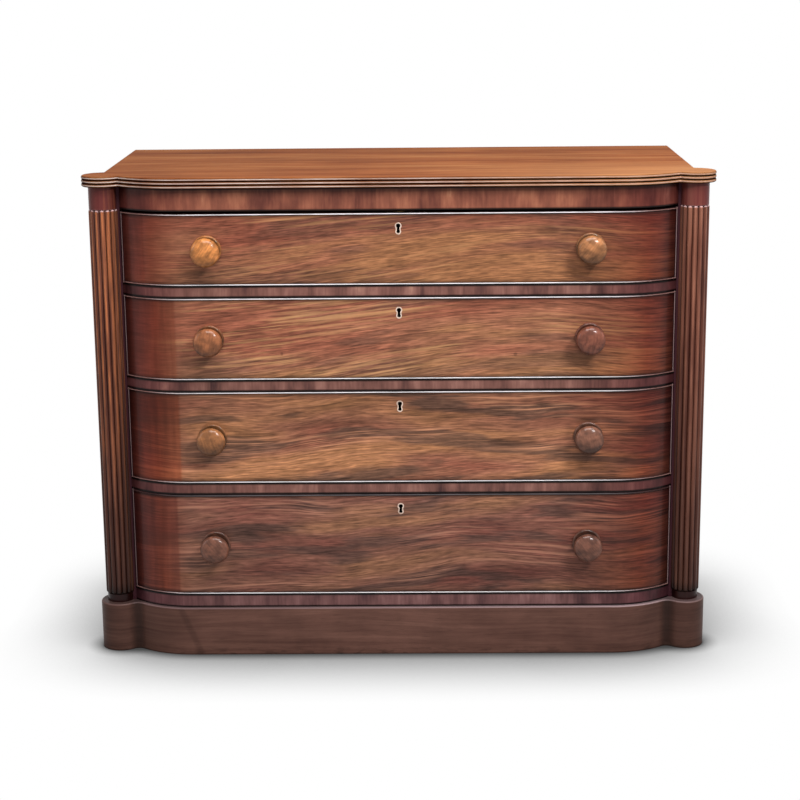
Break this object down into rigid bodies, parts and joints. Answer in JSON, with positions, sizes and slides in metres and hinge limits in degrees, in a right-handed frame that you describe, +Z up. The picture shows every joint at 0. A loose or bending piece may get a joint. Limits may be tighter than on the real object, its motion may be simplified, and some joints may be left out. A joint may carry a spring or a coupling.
{
  "type": "chest of drawers",
  "caption": "Mahogany chest of drawers with rounded front ends, reeded corner columns, turned knobs, a reeded top edge and a plinth.",
  "frame": {"origin": "middle of the chest's bounding box, on the floor", "axes": "+X to the chest's left-hand end as it faces you, along its length (viewer's right); +Y to its back; +Z up"},
  "size_m": [1.148, 0.521, 0.9015],
  "materials": {
    "mahogany_top": "French polished",
    "mahogany_crossbanded": "French polished, cross-banded",
    "mahogany_sides": "French polished",
    "mahogany_columns": "French polished",
    "mahogany_plinth": "worn polish",
    "mahogany_drawer_fronts": "French polished veneer",
    "mahogany_beads": "French polished",
    "mahogany_knobs": "French polished, turned",
    "pine": "bare, aged",
    "oak": "bare, aged",
    "brass": "old polish",
    "steel": "dull"
  },
  "bodies": {
    "carcass": {"top_board": "mahogany_top", "frieze_rail": "mahogany_crossbanded", "side_left": "mahogany_sides", "side_right": "mahogany_sides", "front_posts": "mahogany_sides", "column_left": "mahogany_columns", "column_right": "mahogany_columns", "divider_rail_1": "mahogany_crossbanded", "divider_rail_2": "mahogany_crossbanded", "divider_rail_3": "mahogany_crossbanded", "bottom_rail": "mahogany_crossbanded", "bottom_board": "pine", "dust_boards": "pine", "drawer_runners": "pine", "drawer_guides": "pine", "drawer_kickers": "pine", "drawer_stops": "pine", "top_rails": "pine", "back_boards": "pine", "plinth_front": "mahogany_plinth", "plinth_blocks": "mahogany_plinth", "plinth_sides": "mahogany_plinth", "plinth_back": "pine", "glue_blocks": "pine"},
    "drawer_1": {"drawer_1_front": "mahogany_drawer_fronts", "drawer_1_sides": "oak", "drawer_1_back": "oak", "drawer_1_bottom": "oak", "drawer_1_beads": "mahogany_beads", "drawer_1_knobs": "mahogany_knobs", "drawer_1_escutcheon": "brass", "drawer_1_lock": "brass"},
    "lock_bolt_1": {"drawer_1_lock_bolt": "steel"},
    "drawer_2": {"drawer_2_front": "mahogany_drawer_fronts", "drawer_2_sides": "oak", "drawer_2_back": "oak", "drawer_2_bottom": "oak", "drawer_2_beads": "mahogany_beads", "drawer_2_knobs": "mahogany_knobs", "drawer_2_escutcheon": "brass", "drawer_2_lock": "brass"},
    "lock_bolt_2": {"drawer_2_lock_bolt": "steel"},
    "drawer_3": {"drawer_3_front": "mahogany_drawer_fronts", "drawer_3_sides": "oak", "drawer_3_back": "oak", "drawer_3_bottom": "oak", "drawer_3_beads": "mahogany_beads", "drawer_3_knobs": "mahogany_knobs", "drawer_3_escutcheon": "brass", "drawer_3_lock": "brass"},
    "lock_bolt_3": {"drawer_3_lock_bolt": "steel"},
    "drawer_4": {"drawer_4_front": "mahogany_drawer_fronts", "drawer_4_sides": "oak", "drawer_4_back": "oak", "drawer_4_bottom": "oak", "drawer_4_beads": "mahogany_beads", "drawer_4_knobs": "mahogany_knobs", "drawer_4_escutcheon": "brass", "drawer_4_lock": "brass"},
    "lock_bolt_4": {"drawer_4_lock_bolt": "steel"}
  },
  "joints": [
    {"name": "drawer_1_slide", "type": "slide", "parent": "carcass", "child": "drawer_1", "axis": [0, -1, 0], "range_m": [0, 0.36]},
    {"name": "lock_bolt_1_slide", "type": "slide", "parent": "drawer_1", "child": "lock_bolt_1", "axis": [0, 0, 1], "range_m": [0, 0.008]},
    {"name": "drawer_2_slide", "type": "slide", "parent": "carcass", "child": "drawer_2", "axis": [0, -1, 0], "range_m": [0, 0.36]},
    {"name": "lock_bolt_2_slide", "type": "slide", "parent": "drawer_2", "child": "lock_bolt_2", "axis": [0, 0, 1], "range_m": [0, 0.008]},
    {"name": "drawer_3_slide", "type": "slide", "parent": "carcass", "child": "drawer_3", "axis": [0, -1, 0], "range_m": [0, 0.36]},
    {"name": "lock_bolt_3_slide", "type": "slide", "parent": "drawer_3", "child": "lock_bolt_3", "axis": [0, 0, 1], "range_m": [0, 0.008]},
    {"name": "drawer_4_slide", "type": "slide", "parent": "carcass", "child": "drawer_4", "axis": [0, -1, 0], "range_m": [0, 0.36]},
    {"name": "lock_bolt_4_slide", "type": "slide", "parent": "drawer_4", "child": "lock_bolt_4", "axis": [0, 0, 1], "range_m": [0, 0.008]}
  ]
}
